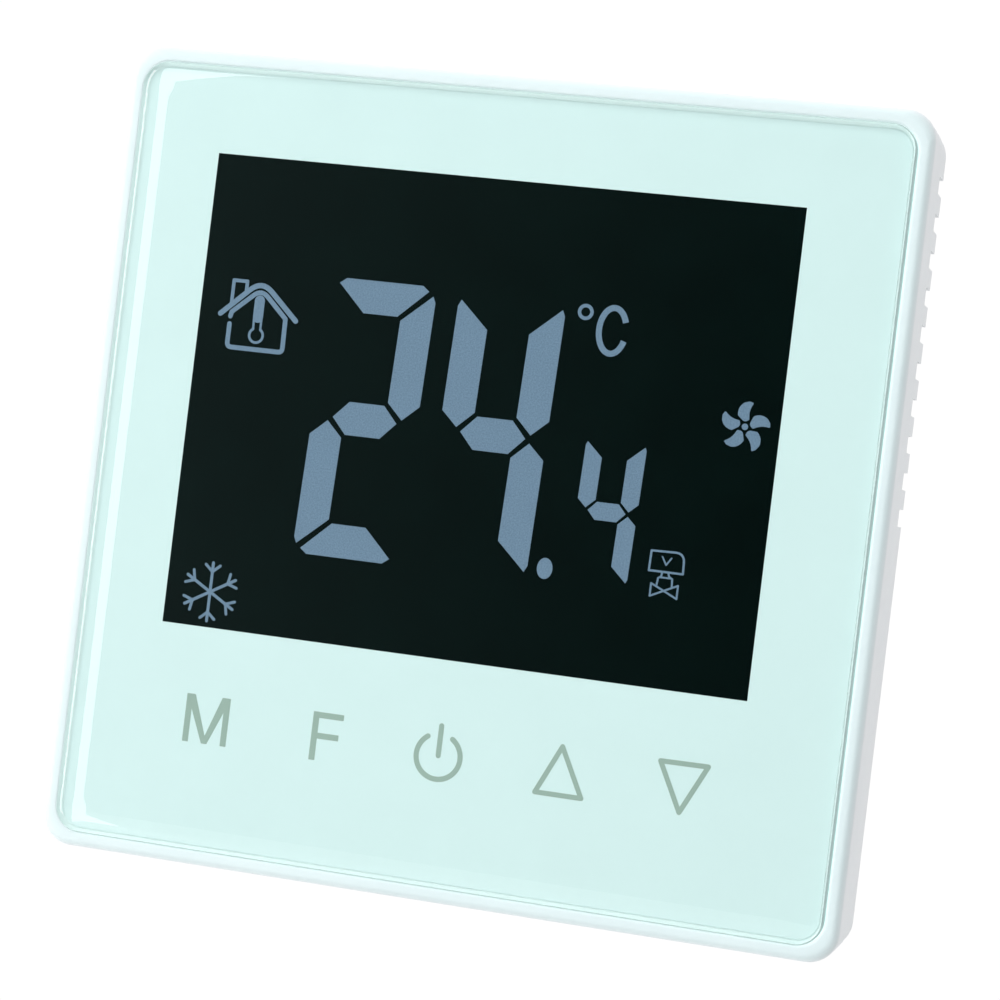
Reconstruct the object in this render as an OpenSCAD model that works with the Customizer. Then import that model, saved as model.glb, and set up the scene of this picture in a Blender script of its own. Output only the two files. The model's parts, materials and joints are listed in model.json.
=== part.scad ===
// Flush wall thermostat for a fan coil: a touch glass front clips over a steel wall bracket and a rear power box.
// Frame: +X right, +Z up, +Y into the wall. The origin lies on the wall face, midway between the screw slots.
// Each module is drawn flat, with the wall face at z = 0 and the glass towards +z. upright() then stands it up.

/* [Front frame] */
// Width and height of the front frame
frame_size = 86.3; // [85.8:0.1:87]
// Depth from the wall face to the face of the glass
front_depth = 13.3; // [13.2:0.1:14]
// Outer corner radius of the frame
frame_corner = 3.2; // [3:0.1:4]
// Thickness of the frame's skirt
skirt_wall = 1.6; // [1.4:0.1:1.8]
// Radius that rounds the front edge of the skirt
edge_round = 1; // [0.6:0.1:1]

/* [Glass] */
// Width and height of the glass
glass_size = 83; // [82.6:0.1:83]
// Thickness of the glass
glass_thick = 2; // [1.8:0.1:2]
// Corner radius of the glass
glass_corner = 2.8; // [2.5:0.1:3.5]
// How far the glass stands proud of the frame's lip
glass_proud = 1.2; // [0.8:0.1:1.4]
// Width of the polished bevel round the glass
glass_bevel = 0.5; // [0.3:0.1:0.8]

/* [Display] */
// Width of the display panel
lcd_w = 65.6; // [65:0.1:66]
// Height of the display panel
lcd_h = 52.8; // [52:0.1:53]
// Height of the display's middle above the middle of the frame
lcd_up = 7.2; // [7:0.1:7.4]
// Distance of the display's middle to the left of the middle of the frame
lcd_left = 0.5; // [0:0.1:0.6]

/* [Touch keys] */
// Number of touch keys
keys = 5; // [3:1:5]
// Distance between touch keys
key_pitch = 12.9; // [12.5:0.1:13.1]
// Height of the key row below the middle of the frame
key_down = 27.6; // [27.4:0.1:28.2]

/* [Side vents] */
// Number of vent notches on each side
vents = 10; // [6:1:10]
// Distance between vent notches
vent_pitch = 3.83; // [3.6:0.01:3.83]
// Width of one vent notch
vent_gap = 1.8; // [1.5:0.1:2]
// Depth of the notches, from the wall face
vent_depth = 4; // [3:0.5:5]
// Height of the top notch above the middle of the frame
vent_top = 36.8; // [36:0.1:37]

/* [Wall fixing] */
// Distance between the two wall screws
screw_spacing = 60; // [60:0.3:60.3]
// Width of the screw slots
slot_w = 4.4; // [4.2:0.1:4.6]
// Overall length of the screw slots
slot_len = 9; // [7:0.5:9]

/* [Rear box] */
// Width of the rear box
box_w = 50; // [50:0.5:50.5]
// Height of the rear box
box_h = 54; // [54:0.5:54.5]
// Depth of the rear box behind the wall face
box_depth = 30; // [30:0.5:31]

/* [Terminals] */
// Number of wire terminals
poles = 7; // [5:1:7]
// Distance between wire terminals
pole_pitch = 5.08; // [5:0.01:5.08]
// Travel of each wire clamp
clamp_travel = 2; // [1.5:0.1:2]

/* [Hidden] */
$fn = 48;
eps = 0.01;

// Heights of the front unit's layers above the wall face
glass_z = front_depth - glass_thick;
tape_thick = 0.3;
floor_z = glass_z - tape_thick;
floor_thick = 1.4;
lip_z = front_depth - glass_proud;
lcd_thick = 2.6;
lcd_z = glass_z - 0.2 - lcd_thick;
tray_thick = 2.7;
tray_wall = 1;
tray_floor = 0.6;
film_thick = 0.2;
guide_thick = 1.7;
tray_z = lcd_z - tray_thick;
board_thick = 1.2;
board_back = tray_z - board_thick;
board_size = 80;
boss_at = 37.6;
boss_r = 2.2;

// Openings of the frame's floor
glass_gap = 0.2;
window_w = lcd_w + 0.8;
window_top = lcd_up + lcd_h / 2 + 0.3;
window_bottom = lcd_up - lcd_h / 2 - 1.6;
window_h = window_top - window_bottom;
window_mid = (window_top + window_bottom) / 2;
key_hole_r = 4.5;
pin_row = lcd_up - lcd_h / 2 - 0.8;
pry_slot_w = 9;
pry_slot_depth = 1.6;
rib_z = 2.2;

// Coil springs under the touch keys
spring_r = 3.3;
spring_wire = 0.5;
spring_turns = 5;

// Places of the parts behind the control board
microcontroller_at = [-14, 14, 0];
memory_at = [2, 16, 0];
crystal_at = [-14, 3, 0];
buzzer_at = [16, 14, 0];
sensor_at = [36.4, 19.5, 0];

// Wall bracket
bracket_size = 79;
bracket_thick = 1;
opening_w = 45;
opening_h = 49;
ear_x = 15;
ear_y = box_h / 2 + 2.6;
tab_w = 8;
tab_x = 22;
tab_tall = 3;
rib_h = 0.7;

// Rear box and the power board in it
box_wall = 1.8;
cover_top = -0.2;
cover_thick = 1.2;
cover_bottom = cover_top - cover_thick;
power_z = -17.2;
power_thick = 1.6;
power_back = power_z - power_thick;
power_screw_x = 20.2;
power_screw_y = 1.8;
relay_w = 10.2;
relay_h = 18.4;
relay_tall = 15.2;
relay_y = 14.8;

// Places of the other parts on the power board
transformer_at = [-15.9, -9, 0];
film_capacitor_at = [-14.5, -20.4, 0];
bulk_capacitor_at = [17.4, -8.6, 0];
output_capacitor_at = [5.5, -4.6, 0];
varistor_at = [-3.7, -20.4, 0];
fuse_at = [4.9, -21, 0];
rectifier_at = [13.2, -19.6, power_z];
regulator_at = [19.7, -19.6, power_z];
driver_at = [-2, 2.6, power_z];

// Pin header between the two boards
header_y = -11.5;
header_w = 17.8;
header_h = 5;
pin_pitch = 2.54;
pin_cols = 7;
pin_size = 0.64;
socket_tall = 8.5;

// Terminal block, measured from its rear face
block_w = poles * pole_pitch + 0.9;
block_h = 9.4;
block_y = -26;
block_tall = 11;
block_rear = power_back - block_tall;
screw_y = block_y + 4.5;
head_r = 1.75;
shaft_r = 1.25;
thread_clear = 0.05;
head_in = 0.5;
head_tall = 1.4;
shoulder_in = 2;
pocket_in = 2.6;
cage_w = 4;
cage_long = 3.6;
cage_top = 1.2;
cage_bottom = 0.9;
bar_thick = 0.7;
bar_w = 2;
bar_gap = 0.15;
cage_window = clamp_travel + bar_thick + 2 * bar_gap;
cage_tall = cage_top + cage_window + cage_bottom;
cage_rest_in = pocket_in + 0.2 + clamp_travel;
pocket_tall = cage_tall + clamp_travel + 0.5;
bar_in = cage_rest_in + cage_top + bar_gap;

// Stands the flat drawing up: flat z becomes -Y, and flat y becomes +Z
module upright() rotate([90, 0, 0]) children();

module round_rect(w, h, r) {
  if (w > 2 * r) square([w - 2 * r, h], center = true);
  if (h > 2 * r) square([w, h - 2 * r], center = true);
  for (x = [-1, 1], y = [-1, 1]) translate([x * (w / 2 - r), y * (h / 2 - r)]) circle(r);
}

module plate(w, h, r, z, t) translate([0, 0, z]) linear_extrude(t) round_rect(w, h, r);

module block(w, h, z, t) translate([-w / 2, -h / 2, z]) cube([w, h, t]);

module rod(r, z, t) translate([0, 0, z]) cylinder(r = r, h = t);

// Sweeps a profile round a rounded square. Its x is measured outwards from the outline and its y is a height
module edge_sweep(size, r) {
  side = size - 2 * r;
  for (a = [0:90:270]) rotate([0, 0, a]) {
    translate([size / 2, side / 2, 0]) rotate([90, 0, 0]) linear_extrude(side) children();
    translate([side / 2, side / 2, 0]) rotate_extrude(angle = 90) translate([r, 0]) children();
  }
}

module four_corners(x, y) for (i = [-1, 1], j = [-1, 1]) translate([i * x, j * y, 0]) children();

module both_sides(x) for (i = [-1, 1]) translate([i * x, 0, 0]) children();

function key_x(i) = (i - (keys - 1) / 2) * key_pitch - 0.1;
function pole_x(i) = (i - (poles - 1) / 2) * pole_pitch;

module at_keys() for (i = [0:keys - 1]) translate([key_x(i), -key_down, 0]) children();

module at_pins() for (i = [0:pin_cols - 1], j = [0, 1])
  translate([(i - (pin_cols - 1) / 2) * pin_pitch, header_y + (j - 0.5) * pin_pitch, 0]) children();

// ---- Front unit ----

// Skirt, lip and floor in one moulding, with vent notches in its rear edge, screw bosses and snap ribs
module front_frame() color("whitesmoke") upright() {
  inner = frame_size - 2 * skirt_wall;
  pocket = glass_size + 2 * glass_gap;
  difference() {
    plate(frame_size, frame_size, frame_corner, 0, lip_z);
    plate(inner, inner, frame_corner - skirt_wall, -eps, floor_z - floor_thick + eps);
    plate(pocket, pocket, glass_corner + glass_gap, floor_z, lip_z);
    translate([0, 0, lip_z]) edge_sweep(frame_size, frame_corner) lip_round();
    translate([-lcd_left, window_mid, 0])
      block(window_w, window_h, floor_z - 2 * floor_thick, 4 * floor_thick);
    at_keys() rod(key_hole_r, floor_z - 2 * floor_thick, 4 * floor_thick);
    for (i = [0:vents - 1]) translate([0, vent_top - i * vent_pitch, 0])
      block(frame_size + 2, vent_gap, -eps, vent_depth + eps);
    translate([0, -frame_size / 2, 0]) block(pry_slot_w, 4 * skirt_wall, -eps, pry_slot_depth);
  }
  four_corners(boss_at, boss_at) difference() {
    rod(boss_r, tray_z, floor_z - floor_thick - tray_z + eps);
    rod(1, tray_z - eps, 3.4);
  }
  for (y = [-1, 1], x = [-tab_x, tab_x]) translate([x, y * (inner - rib_h + eps) / 2, 0])
    block(tab_w, rib_h + eps, rib_z, 1);
}

module lip_round() translate([-edge_round, -edge_round]) difference() {
  square(edge_round + 1);
  circle(edge_round);
}

module glass_panel() color("lightcyan") upright() difference() {
  plate(glass_size, glass_size, glass_corner, glass_z, glass_thick);
  translate([0, 0, front_depth]) edge_sweep(glass_size, glass_corner)
    polygon([[-glass_bevel, 0], [1, 0], [1, -1], [0, -glass_bevel * 0.8], [-glass_bevel, 0]]);
}

module adhesive_tape() color("gainsboro") upright() difference() {
  plate(glass_size - 2, glass_size - 2, glass_corner - 1, floor_z, tape_thick);
  translate([-lcd_left, window_mid, 0]) block(window_w, window_h, floor_z - 1, 2);
  at_keys() rod(key_hole_r, floor_z - 1, 2);
}

// Two bonded panes: the rear one is taller and carries the contact ledge
module lcd_panel() color("darkslategray") upright() translate([-lcd_left, lcd_up, 0]) {
  ledge = 2.2;
  block(lcd_w, lcd_h, lcd_z, lcd_thick / 2);
  translate([0, ledge / 2, 0]) block(lcd_w, lcd_h - ledge, lcd_z + lcd_thick / 2, lcd_thick / 2);
}

// Spring clip pins from the display's contact ledge down to the control board
module lcd_pins() color("silver") upright() {
  count = 24;
  pitch = 2.54;
  wide = 0.5;
  clip = 0.3;
  for (i = [0:count - 1]) translate([(i - (count - 1) / 2) * pitch - lcd_left, 0, 0]) {
    top = lcd_z + lcd_thick / 2;
    translate([-wide / 2, pin_row - clip / 2, tray_z]) cube([wide, clip, top + clip - tray_z]);
    translate([-wide / 2, pin_row - clip / 2, top]) cube([wide, 1.8, clip]);
  }
}

module backlight_tray() color("white") upright() translate([-lcd_left, lcd_up, 0]) difference() {
  block(lcd_w + 1, lcd_h - 0.4, tray_z, tray_thick);
  block(lcd_w + 1 - 2 * tray_wall, lcd_h - 0.4 - 2 * tray_wall, tray_z + tray_floor, tray_thick);
}

module reflector_film() color("silver") upright() translate([-lcd_left, lcd_up, 0])
  block(lcd_w - 1.2, lcd_h - 2.6, tray_z + tray_floor, film_thick);

module light_guide() color("aliceblue") upright() translate([-lcd_left, lcd_up + 1.4, 0])
  block(lcd_w - 2, lcd_h - 6, tray_z + tray_floor + film_thick, guide_thick);

module backlight_leds() color("lemonchiffon") upright()
  for (i = [-1:1]) translate([i * 20 - lcd_left, lcd_up - lcd_h / 2 + 2.8, 0])
    block(4, 1.6, tray_z + tray_floor + film_thick, 1.5);

module control_board() color("darkgreen") upright() difference() {
  plate(board_size, board_size, 2.6, board_back, board_thick);
  four_corners(boss_at, boss_at) rod(1.3, board_back - 1, board_thick + 2);
}

module control_board_screws() color("silver") upright() four_corners(boss_at, boss_at)
  pan_screw(2, 1.2, 0.95, 4.2, board_back);

// Pan head screw with a cross recess: the head hangs below the surface at z and the shaft rises above it
module pan_screw(head, tall, shaft, long, z) {
  difference() {
    rod(head, z - tall, tall);
    for (a = [0, 90]) rotate([0, 0, a]) block(head * 1.1, 0.5, z - tall - eps, tall / 2);
  }
  rod(shaft, z - eps, long + eps);
}

// One coil spring stands between the control board and the back of the glass at each touch key
module touch_springs() color("gold") upright() at_keys() {
  tall = glass_z - tray_z;
  rise = (tall - spring_wire) / (spring_turns - 1);
  for (i = [0:spring_turns - 1]) translate([0, 0, tray_z + i * rise])
    rotate_extrude() translate([spring_r - spring_wire, 0]) square(spring_wire);
  both_sides(spring_r - spring_wire / 2) block(spring_wire * 0.8, spring_wire * 0.8, tray_z, tall);
}

// Chip body with gull wing legs along its two long sides, or along all four
module chip(w, h, tall, legs, pitch, four = false) {
  leg = 0.9;
  block(w, h, 0.1, tall - 0.1);
  for (a = four ? [0:90:270] : [0, 180], i = [0:legs - 1]) rotate([0, 0, a])
    translate([(i - (legs - 1) / 2) * pitch, (h + leg) / 2, 0]) block(0.35, leg, 0, 0.45);
}

module behind_board() translate([0, 0, board_back]) mirror([0, 0, 1]) children();

module microcontroller() color("dimgray") upright() translate(microcontroller_at) behind_board()
  chip(10, 10, 1.5, 11, 0.8, true);

module memory_chip() color("dimgray") upright() translate(memory_at) behind_board() chip(5, 4, 1.5, 4, 1.27);

module crystal() color("silver") upright() translate(crystal_at) behind_board() {
  plate(8, 3.4, 1.7, 0, 0.5);
  plate(7, 2.8, 1.4, 0.5, 1.2);
}

module buzzer() color("dimgray") upright() translate(buzzer_at) behind_board() difference() {
  rod(4.5, 0, 2.8);
  rod(0.8, 1.8, 2);
}

// Bead thermistor on two leads, held beside the vent notches
module temperature_sensor() color("saddlebrown") upright() translate(sensor_at) behind_board() {
  translate([0, 0, 2.1]) sphere(r = 1.1);
  for (y = [-0.6, 0.6]) translate([0, y, 0]) rod(0.2, 0, 2);
}

module pin_header() color("dimgray") upright() difference() {
  translate([0, header_y, 0]) block(header_w, header_h, board_back - 2.5, 2.5);
  at_pins() block(pin_size, pin_size, board_back - 3, 4);
}

module header_pins() color("gold") upright() at_pins() block(pin_size, pin_size, -6, board_back + 6);

// ---- Wall side ----

// Steel bracket with screw slots, a middle opening and four tabs bent towards the front
module mounting_bracket() color("lightsteelblue") upright() {
  difference() {
    plate(bracket_size, bracket_size, 4, 0, bracket_thick);
    plate(opening_w, opening_h, 2, -1, bracket_thick + 2);
    both_sides(screw_spacing / 2) slot();
    four_corners(ear_x, ear_y) rod(1.6, -1, bracket_thick + 2);
    both_sides(33.5) for (y = [-1, 1]) translate([0, y * 22, 0]) plate(6, 20, 3, -1, bracket_thick + 2);
  }
  for (y = [-1, 1], x = [-tab_x, tab_x]) translate([x, y * (bracket_size - bracket_thick) / 2, 0])
    block(tab_w, bracket_thick, bracket_thick - eps, tab_tall);
}

module slot() {
  reach = (slot_len - slot_w) / 2;
  block(2 * reach, slot_w, -1, bracket_thick + 2);
  both_sides(reach) rod(slot_w / 2, -1, bracket_thick + 2);
}

// Box that stands in the wall, open at the front, with ears for the bracket and an opening for the terminals
module rear_box() color("white") upright() {
  difference() {
    union() {
      plate(box_w, box_h, 2, -box_depth, box_depth);
      four_corners(ear_x, box_h / 2) {
        rod(3.2, -5, 5);
        translate([0, 0.6, 0]) rod(4.6, -5, 5);
      }
    }
    plate(box_w - 2 * box_wall, box_h - 2 * box_wall, 1, box_wall - box_depth, box_depth);
    four_corners(ear_x, ear_y) rod(1.45, -6, 7);
    translate([0, block_y + block_h / 2, 0])
      block(block_w + 0.6, block_h + 0.6, -box_depth - 1, box_wall + 2);
    translate([0, -box_h / 2, 0])
      block(block_w + 0.6, 2 * box_wall + 0.4, -box_depth - 1, box_depth + power_back + 1);
  }
  both_sides(power_screw_x) translate([0, power_screw_y, 0]) difference() {
    rod(2.4, box_wall - box_depth - eps, box_depth + power_back - box_wall + eps);
    rod(1, power_back - 6, 7);
  }
  four_corners(box_w / 2 - box_wall - 1, box_h / 2 - box_wall - 1)
    block(2 + 2 * eps, 2 + 2 * eps, box_wall - box_depth - eps, cover_bottom + box_depth - box_wall + eps);
}

// Cover over the power board, with louvre slots and an opening for the socket
module insulation_cover() color("gainsboro") upright() difference() {
  plate(box_w - 2 * box_wall - 0.4, box_h - 2 * box_wall - 0.4, 1, cover_bottom, cover_thick);
  translate([0, header_y, 0]) block(header_w + 0.6, header_h + 0.6, -3, 4);
  for (i = [-3:3]) translate([i * 5.6, 13, 0]) block(1.6, 14, -3, 4);
}

module bracket_screws() color("silver") upright() four_corners(ear_x, ear_y) mirror([0, 0, 1])
  pan_screw(2.4, 1.3, 1.4, 7, -bracket_thick);

module power_board() color("darkgreen") upright() difference() {
  plate(box_w - 2 * box_wall - 0.8, box_h - 2 * box_wall - 0.8, 0.5, power_back, power_thick);
  both_sides(power_screw_x) translate([0, power_screw_y, 0]) rod(1.3, power_back - 1, power_thick + 2);
  four_corners(box_w / 2 - box_wall - 1, box_h / 2 - box_wall - 1) block(3, 3, power_back - 1, power_thick + 2);
}

module power_board_screws() color("silver") upright() both_sides(power_screw_x) translate([0, power_screw_y, 0])
  translate([0, 0, power_z]) mirror([0, 0, 1]) pan_screw(2, 1.2, 0.95, 6, 0);

// Sealed relay with a locating foot frame; i counts from the left
module relay(i) color("black") upright() translate([(i - 1.5) * (relay_w + 0.2), relay_y, 0]) {
  foot = 0.4;
  block(relay_w - 0.8, relay_h - 0.8, power_z, foot + eps);
  plate(relay_w, relay_h, 0.4, power_z + foot, relay_tall - foot);
}

// Two E cores, drawn as a closed frame round the winding
module transformer_core() color("dimgray") upright() translate(transformer_at) difference() {
  block(13, 6, power_z + 1.6, 10);
  for (i = [-1, 1]) translate([i * 3.9, 0, 0]) block(2.6, 8, power_z + 3.2, 6.8);
}

module transformer_winding() color("gold") upright() translate(transformer_at) {
  difference() {
    union() {
      block(12.6, 11, power_z, 1.6);
      block(10.4, 10.4, power_z + 3.2, 6.8);
    }
    block(14, 6, power_z + 3.2, 7);
  }
  both_sides(3.9) block(2.6, 10.4, power_z + 3.2, 6.8);
  for (y = [-4.2, 4.2]) translate([0, y, 0]) block(7, 1.6, power_z + 1.6 - eps, 2);
}

module filter_capacitor() color("goldenrod") upright() translate(film_capacitor_at) plate(13, 6, 0.5, power_z, 11);

// Aluminium can with a stepped sleeve; r is its radius
module can(r, tall) {
  rod(r, power_z, tall - 1.6);
  rod(r * 0.94, power_z + tall - 1.6 - eps, 0.8 + eps);
  rod(r, power_z + tall - 0.8 - eps, 0.8 + eps);
}

module bulk_capacitor() color("midnightblue") upright() translate(bulk_capacitor_at) can(5, 12.5);

module output_capacitor() color("midnightblue") upright() translate(output_capacitor_at) can(3.15, 9);

// Disc on edge, on two leads
module varistor() color("steelblue") upright() translate(varistor_at) {
  translate([0, 0, power_z + 5.4]) rotate([90, 0, 0]) translate([0, 0, -1.9]) cylinder(r = 3.5, h = 3.8);
  for (x = [-2, 2]) translate([x, 0, 0]) rod(0.4, power_z, 3.4);
}

module fuse() color("firebrick") upright() translate(fuse_at) plate(8.2, 4, 0.8, power_z, 7.6);

module bridge_rectifier() color("dimgray") upright() translate(rectifier_at)
  chip(6.4, 6.5, 3, 2, 5);

module regulator_chip() color("dimgray") upright() translate(regulator_at)
  chip(4.6, 4, 1.5, 3, 1.27);

module driver_chip() color("dimgray") upright() translate(driver_at)
  chip(10, 3.4, 1.5, 8, 1.27);

module socket_header() color("dimgray") upright() difference() {
  translate([0, header_y, 0]) block(header_w, header_h, cover_top - socket_tall, socket_tall);
  at_pins() block(0.9, 0.9, cover_top - socket_tall + 1, socket_tall);
}

module socket_legs() color("gold") upright() at_pins()
  block(pin_size, pin_size, power_z, cover_top - socket_tall - power_z);

// Moulded housing of the wire terminals: one screw hole, clamp pocket and wire entry for each pole
module terminal_block() color("seagreen") upright() difference() {
  translate([0, block_y + block_h / 2, 0]) block(block_w, block_h, block_rear, block_tall);
  for (i = [0:poles - 1]) translate([pole_x(i), 0, block_rear]) {
    translate([0, screw_y, 0]) {
      rod(head_r + 0.15, -eps, shoulder_in + eps);
      rod(shaft_r + 0.2, -eps, pocket_in + 2 * eps);
      block(cage_w + 0.3, cage_long + 0.4, pocket_in, pocket_tall);
    }
    translate([0, block_y, 0]) block(3, 5.4, pocket_in + 2.4, pocket_tall - 2.6);
    bar_slot();
  }
}

module bar_slot() {
  translate([-bar_w / 2, screw_y - 2.6, bar_in]) cube([bar_w, 5.6, bar_thick]);
  translate([-bar_w / 2, screw_y + 3, bar_in]) cube([bar_w, bar_thick, block_tall]);
}

// Copper bars that the wires are pressed against, each with its leg down to the power board
module contact_bars() color("peru") upright() for (i = [0:poles - 1]) translate([pole_x(i), 0, block_rear]) {
  translate([-bar_w / 2, screw_y - 2.6, bar_in]) cube([bar_w, 5.6, bar_thick]);
  translate([-bar_w / 2, screw_y + 3, bar_in]) cube([bar_w, bar_thick, block_tall - bar_in]);
}

// Captive screw of one terminal, with its slotted head at the rear
module terminal_screw(i) color("silver") upright() translate([pole_x(i), screw_y, block_rear]) {
  difference() {
    rod(head_r, head_in, head_tall);
    block(2 * head_r + 1, 0.6, head_in - eps, 0.7);
  }
  rod(shaft_r, head_in + head_tall - eps, cage_rest_in + cage_top - head_in - head_tall + eps - 0.05);
}

// Rising clamp cage of one terminal: the screw draws it towards its head and shuts it on the wire
module terminal_clamp(i) color("goldenrod") upright() translate([pole_x(i), screw_y, block_rear]) difference() {
  block(cage_w, cage_long, cage_rest_in, cage_tall);
  block(2.8, cage_long + 1, cage_rest_in + cage_top, cage_window);
  rod(shaft_r + thread_clear, cage_rest_in - 1, cage_top + 1 + eps);
}

front_frame();
glass_panel();
adhesive_tape();
lcd_panel();
lcd_pins();
backlight_tray();
light_guide();
reflector_film();
backlight_leds();
control_board();
control_board_screws();
touch_springs();
microcontroller();
memory_chip();
crystal();
buzzer();
temperature_sensor();
pin_header();
header_pins();
mounting_bracket();
rear_box();
insulation_cover();
bracket_screws();
power_board();
power_board_screws();
relay(0);  // relay_fan_high
relay(1);  // relay_fan_medium
relay(2);  // relay_fan_low
relay(3);  // relay_valve
transformer_core();
transformer_winding();
filter_capacitor();
bulk_capacitor();
output_capacitor();
varistor();
fuse();
bridge_rectifier();
regulator_chip();
driver_chip();
socket_header();
socket_legs();
terminal_block();
contact_bars();
terminal_screw(0);  // terminal_screw_1
terminal_screw(1);  // terminal_screw_2
terminal_screw(2);  // terminal_screw_3
terminal_screw(3);  // terminal_screw_4
terminal_screw(4);  // terminal_screw_5
terminal_screw(5);  // terminal_screw_6
terminal_screw(6);  // terminal_screw_7
terminal_clamp(0);  // terminal_clamp_1
terminal_clamp(1);  // terminal_clamp_2
terminal_clamp(2);  // terminal_clamp_3
terminal_clamp(3);  // terminal_clamp_4
terminal_clamp(4);  // terminal_clamp_5
terminal_clamp(5);  // terminal_clamp_6
terminal_clamp(6);  // terminal_clamp_7
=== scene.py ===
"""Looks of a flush wall thermostat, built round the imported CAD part.

Sizes are written in millimetres, and MM turns them into Blender's metres. The lamps' places are in metres.
"""

import json
import math

import bmesh
import bpy
from mathutils import Matrix, Vector
from mathutils.geometry import delaunay_2d_cdt


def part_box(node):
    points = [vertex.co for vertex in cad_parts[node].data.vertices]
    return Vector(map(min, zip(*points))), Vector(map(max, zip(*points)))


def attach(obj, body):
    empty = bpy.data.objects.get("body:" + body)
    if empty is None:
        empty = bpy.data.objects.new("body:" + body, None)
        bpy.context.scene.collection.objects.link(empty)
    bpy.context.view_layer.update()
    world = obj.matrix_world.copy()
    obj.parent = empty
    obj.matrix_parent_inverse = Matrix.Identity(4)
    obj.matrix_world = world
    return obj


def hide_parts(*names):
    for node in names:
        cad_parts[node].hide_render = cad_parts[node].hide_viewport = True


MM = 0.001

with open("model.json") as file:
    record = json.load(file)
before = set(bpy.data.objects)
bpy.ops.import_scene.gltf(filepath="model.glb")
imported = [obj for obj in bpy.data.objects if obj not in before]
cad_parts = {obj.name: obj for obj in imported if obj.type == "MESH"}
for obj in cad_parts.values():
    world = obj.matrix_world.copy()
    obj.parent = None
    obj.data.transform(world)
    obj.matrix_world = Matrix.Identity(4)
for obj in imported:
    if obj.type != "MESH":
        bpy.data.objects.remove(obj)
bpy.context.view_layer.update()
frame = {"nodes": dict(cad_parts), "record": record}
nodes = frame["nodes"]

# ---------------- places taken from the CAD part, in millimetres


def cad_mm(node):
    """The two corners of a CAD node's box, in millimetres."""
    low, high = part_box(node)
    return low / MM, high / MM


FRAME_LOW, FRAME_HIGH = cad_mm("front_frame")
GLASS_LOW, GLASS_HIGH = cad_mm("glass_panel")
LCD_LOW, LCD_HIGH = cad_mm("lcd_panel")
SPRING_LOW, SPRING_HIGH = cad_mm("touch_springs")
TAPE_BACK_Y = cad_mm("adhesive_tape")[1].y
BOARD_BACK_Y = cad_mm("control_board")[1].y

FRAME_HALF = FRAME_HIGH.x
FRAME_CORNER = 3.2
SKIRT_WALL = 1.6
FLOOR_WALL = 1.4
LIP_Y = FRAME_LOW.y
FLOOR_FRONT_Y = TAPE_BACK_Y
FLOOR_BACK_Y = FLOOR_FRONT_Y + FLOOR_WALL
GLASS_HALF = GLASS_HIGH.x
GLASS_CORNER = 2.8
GLASS_GAP = 0.1
GLASS_FACE_Y = GLASS_LOW.y
GLASS_REST_Y = GLASS_HIGH.y

POCKET_INSET = FRAME_HALF - GLASS_HALF - GLASS_GAP

# The lip is a low ridge with its crest at CREST_INSET, a tall round outer side and a small round inner edge
CREST_INSET, OUTER_DROP, INNER_ROUND = 0.85, 1.0, 0.26

# The front of the print lies just inside the back face of the glass, as an air gap there mirrors as a dark
# line. The signs lie before the print.
GLASS_BACK_Y = GLASS_REST_Y - 0.02
INK_BACK_Y = GLASS_REST_Y - 0.01
INK_FRONT_Y = GLASS_REST_Y - 0.035
SIGN_FRONT_Y = GLASS_REST_Y - 0.05

# Display window in the ink: left, right, bottom and top
WINDOW = (-32.17, 31.11, -17.92, 32.28)

# The swept sections of the glass and the frame end in flat caps this far inside their outlines
CAP_INSET = 8

# ---------------- outlines, as lists of (x, z) in millimetres


def arc(x, z, radius_x, radius_z, start, end, steps):
    """Points on an ellipse's arc, with its angles in degrees, counted from +x towards +z."""
    angles = [math.radians(start + (end - start) * i / steps) for i in range(steps + 1)]
    return [(x + radius_x * math.cos(a), z + radius_z * math.sin(a)) for a in angles]


def disc(x, z, radius_x, radius_z=None, steps=20):
    """A circle's outline, or an ellipse's when it has two radii."""
    return arc(x, z, radius_x, radius_z or radius_x, 0, 360 * (steps - 1) / steps, steps - 1)


def rounded_square(half, radius, steps=10):
    """A rounded square's outline, anticlockwise from its right side."""
    middle = half - radius
    out = []
    for sign_x, sign_z, start in ((1, 1, 0), (-1, 1, 90), (-1, -1, 180), (1, -1, 270)):
        out += arc(sign_x * middle, sign_z * middle, radius, radius, start, start + 90, steps)
    return out


def bend(a, b, c, steps=8):
    """Points on the smooth curve that leaves a towards b and arrives at c."""
    out = []
    for i in range(steps + 1):
        t = i / steps
        out.append(tuple((1 - t) ** 2 * p + 2 * t * (1 - t) * q + t * t * r for p, q, r in zip(a, b, c)))
    return out


def stroke(points, width, closed=False, round_ends=True):
    """A line of that width through the points, as the outlines of its straight runs and round joints."""
    path = list(points) + ([points[0]] if closed else [])
    out = []
    for (x0, z0), (x1, z1) in zip(path, path[1:]):
        length = math.hypot(x1 - x0, z1 - z0)
        side_x, side_z = -(z1 - z0) / length * width / 2, (x1 - x0) / length * width / 2
        out.append([
            (x0 + side_x, z0 + side_z), (x0 - side_x, z0 - side_z),
            (x1 - side_x, z1 - side_z), (x1 + side_x, z1 + side_z),
        ])
    joints = path if round_ends else path[1:-1]
    out += [disc(x, z, width / 2, steps=16) for x, z in joints]
    return out


def turned(outline, x, z, degrees):
    """The outline turned about the origin and then moved to x, z."""
    c, s = math.cos(math.radians(degrees)), math.sin(math.radians(degrees))
    return [(x + c * px - s * pz, z + s * px + c * pz) for px, pz in outline]


# ---------------- mesh builders


def add_object(name, mesh, body, material, smooth=True):
    """Adds the mesh as a visible piece that rides a body and fills a material slot."""
    obj = bpy.data.objects.new(name, mesh)
    bpy.context.scene.collection.objects.link(obj)
    mesh.materials.append(material)
    for polygon in mesh.polygons:
        polygon.use_smooth = smooth
    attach(obj, body)
    return obj


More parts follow.
